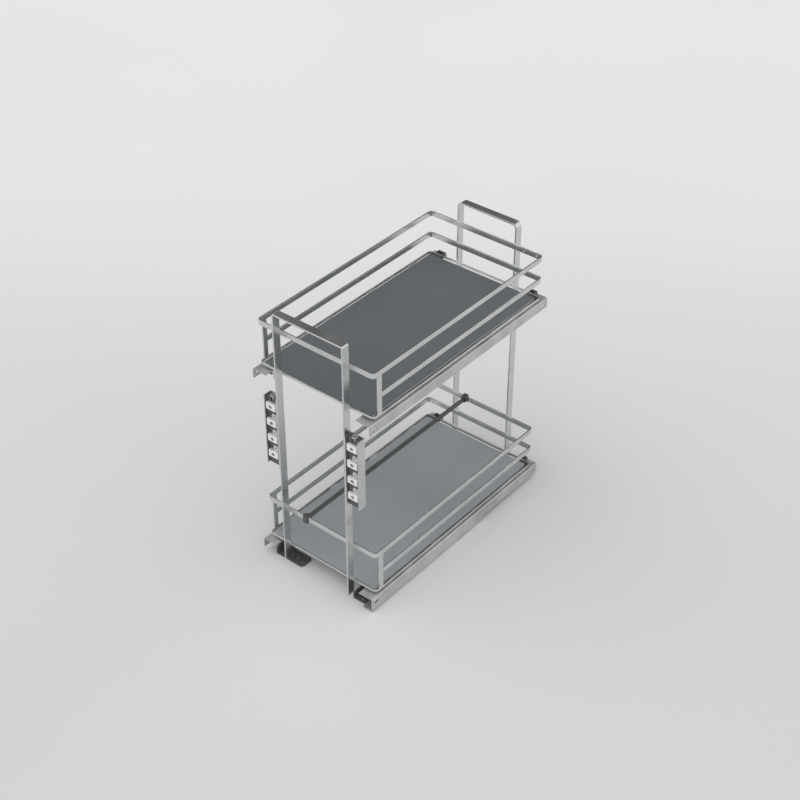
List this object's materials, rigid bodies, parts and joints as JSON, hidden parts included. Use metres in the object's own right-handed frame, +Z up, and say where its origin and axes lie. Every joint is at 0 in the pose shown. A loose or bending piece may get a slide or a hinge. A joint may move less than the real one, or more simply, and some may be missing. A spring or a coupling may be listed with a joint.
{
  "type": "pull-out spice rack",
  "caption": "Narrow pull-out rack with two flat-bar baskets in upright portals, on hidden roller runners under L-shaped rails.",
  "frame": {"origin": "on the cabinet floor, in the middle of the closed fitting's box", "axes": "+Z up, +X to the right seen from the door side, -Y towards the door, the way the rack pulls out"},
  "size_m": [0.264, 0.507, 0.5565],
  "materials": {
    "bright_bar": "bright plated",
    "bright_sheet": "bright plated",
    "zinc": "zinc plated",
    "black_paint": "satin",
    "panel_grey": "satin",
    "mat_grey": "matt",
    "black_plastic": "matt",
    "white_plastic": "matt",
    "bush_plastic": "matt"
  },
  "bodies": {
    "cabinet_rails": {"rail_lower_left": "bright_sheet", "rail_lower_right": "bright_sheet", "rail_upper_left": "bright_sheet", "rail_upper_right": "bright_sheet", "cabinet_member_lower_left": "zinc", "cabinet_member_lower_right": "zinc", "cabinet_member_upper_left": "zinc", "cabinet_member_upper_right": "zinc", "floor_bracket_left": "black_paint", "floor_bracket_right": "black_paint", "bracket_rivets": "zinc"},
    "basket_frame": {"drawer_member_lower_left": "zinc", "drawer_member_lower_right": "zinc", "drawer_member_upper_left": "zinc", "drawer_member_upper_right": "zinc", "hangers_lower": "zinc", "hangers_upper": "zinc", "top_rail_lower": "bright_bar", "top_rail_upper": "bright_bar", "mid_rail_lower": "bright_bar", "mid_rail_upper": "bright_bar", "tray_rim_lower": "bright_bar", "tray_rim_upper": "bright_bar", "tray_panel_lower": "panel_grey", "tray_panel_upper": "panel_grey", "mat_lower": "mat_grey", "mat_upper": "mat_grey", "front_portal": "bright_bar", "rear_portal": "bright_bar", "corner_posts": "bright_bar", "cross_bars": "bright_bar", "rear_clips": "black_plastic", "leg_tab": "bright_bar", "door_bracket_left": "bright_sheet", "door_bracket_right": "bright_sheet"},
    "middle_member_lower_left_body": {"middle_member_lower_left": "zinc"},
    "roller_cage_outer_lower_left_body": {"roller_cage_outer_lower_left": "zinc"},
    "roller_cage_inner_lower_left_body": {"roller_cage_inner_lower_left": "zinc"},
    "middle_member_lower_right_body": {"middle_member_lower_right": "zinc"},
    "roller_cage_outer_lower_right_body": {"roller_cage_outer_lower_right": "zinc"},
    "roller_cage_inner_lower_right_body": {"roller_cage_inner_lower_right": "zinc"},
    "middle_member_upper_left_body": {"middle_member_upper_left": "zinc"},
    "roller_cage_outer_upper_left_body": {"roller_cage_outer_upper_left": "zinc"},
    "roller_cage_inner_upper_left_body": {"roller_cage_inner_upper_left": "zinc"},
    "middle_member_upper_right_body": {"middle_member_upper_right": "zinc"},
    "roller_cage_outer_upper_right_body": {"roller_cage_outer_upper_right": "zinc"},
    "roller_cage_inner_upper_right_body": {"roller_cage_inner_upper_right": "zinc"},
    "door_adjuster_left": {"bracket_body_left": "black_plastic", "clamp_blocks_left": "white_plastic", "clamp_screws_left": "zinc", "door_bushes_left": "bush_plastic", "height_screw_left": "zinc"},
    "door_adjuster_right": {"bracket_body_right": "black_plastic", "clamp_blocks_right": "white_plastic", "clamp_screws_right": "zinc", "door_bushes_right": "bush_plastic", "height_screw_right": "zinc"},
    "divider": {"divider_bar": "black_plastic", "divider_caps": "black_plastic"}
  },
  "joints": [
    {"name": "basket_slide", "type": "slide", "parent": "cabinet_rails", "child": "basket_frame", "axis": [0, -1, 0], "range_m": [0, 0.45]},
    {"name": "middle_member_lower_left_slide", "type": "slide", "parent": "cabinet_rails", "child": "middle_member_lower_left_body", "axis": [0, -1, 0], "range_m": [0, 0.225]},
    {"name": "roller_cage_outer_lower_left_slide", "type": "slide", "parent": "cabinet_rails", "child": "roller_cage_outer_lower_left_body", "axis": [0, -1, 0], "range_m": [0, 0.1125]},
    {"name": "roller_cage_inner_lower_left_slide", "type": "slide", "parent": "cabinet_rails", "child": "roller_cage_inner_lower_left_body", "axis": [0, -1, 0], "range_m": [0, 0.3375]},
    {"name": "middle_member_lower_right_slide", "type": "slide", "parent": "cabinet_rails", "child": "middle_member_lower_right_body", "axis": [0, -1, 0], "range_m": [0, 0.225]},
    {"name": "roller_cage_outer_lower_right_slide", "type": "slide", "parent": "cabinet_rails", "child": "roller_cage_outer_lower_right_body", "axis": [0, -1, 0], "range_m": [0, 0.1125]},
    {"name": "roller_cage_inner_lower_right_slide", "type": "slide", "parent": "cabinet_rails", "child": "roller_cage_inner_lower_right_body", "axis": [0, -1, 0], "range_m": [0, 0.3375]},
    {"name": "middle_member_upper_left_slide", "type": "slide", "parent": "cabinet_rails", "child": "middle_member_upper_left_body", "axis": [0, -1, 0], "range_m": [0, 0.225]},
    {"name": "roller_cage_outer_upper_left_slide", "type": "slide", "parent": "cabinet_rails", "child": "roller_cage_outer_upper_left_body", "axis": [0, -1, 0], "range_m": [0, 0.1125]},
    {"name": "roller_cage_inner_upper_left_slide", "type": "slide", "parent": "cabinet_rails", "child": "roller_cage_inner_upper_left_body", "axis": [0, -1, 0], "range_m": [0, 0.3375]},
    {"name": "middle_member_upper_right_slide", "type": "slide", "parent": "cabinet_rails", "child": "middle_member_upper_right_body", "axis": [0, -1, 0], "range_m": [0, 0.225]},
    {"name": "roller_cage_outer_upper_right_slide", "type": "slide", "parent": "cabinet_rails", "child": "roller_cage_outer_upper_right_body", "axis": [0, -1, 0], "range_m": [0, 0.1125]},
    {"name": "roller_cage_inner_upper_right_slide", "type": "slide", "parent": "cabinet_rails", "child": "roller_cage_inner_upper_right_body", "axis": [0, -1, 0], "range_m": [0, 0.3375]},
    {"name": "door_adjuster_left_slide", "type": "slide", "parent": "basket_frame", "child": "door_adjuster_left", "axis": [0, 0, 1], "range_m": [-0.003, 0.003]},
    {"name": "door_adjuster_right_slide", "type": "slide", "parent": "basket_frame", "child": "door_adjuster_right", "axis": [0, 0, 1], "range_m": [-0.003, 0.003]},
    {"name": "divider_slide", "type": "slide", "parent": "basket_frame", "child": "divider", "axis": [1, 0, 0], "range_m": [-0.023, 0.093]}
  ],
  "couplings": [
    {"joint": "middle_member_lower_left_slide", "follows": "basket_slide", "ratio": 0.5},
    {"joint": "roller_cage_outer_lower_left_slide", "follows": "basket_slide", "ratio": 0.25},
    {"joint": "roller_cage_inner_lower_left_slide", "follows": "basket_slide", "ratio": 0.75},
    {"joint": "middle_member_lower_right_slide", "follows": "basket_slide", "ratio": 0.5},
    {"joint": "roller_cage_outer_lower_right_slide", "follows": "basket_slide", "ratio": 0.25},
    {"joint": "roller_cage_inner_lower_right_slide", "follows": "basket_slide", "ratio": 0.75},
    {"joint": "middle_member_upper_left_slide", "follows": "basket_slide", "ratio": 0.5},
    {"joint": "roller_cage_outer_upper_left_slide", "follows": "basket_slide", "ratio": 0.25},
    {"joint": "roller_cage_inner_upper_left_slide", "follows": "basket_slide", "ratio": 0.75},
    {"joint": "middle_member_upper_right_slide", "follows": "basket_slide", "ratio": 0.5},
    {"joint": "roller_cage_outer_upper_right_slide", "follows": "basket_slide", "ratio": 0.25},
    {"joint": "roller_cage_inner_upper_right_slide", "follows": "basket_slide", "ratio": 0.75}
  ]
}
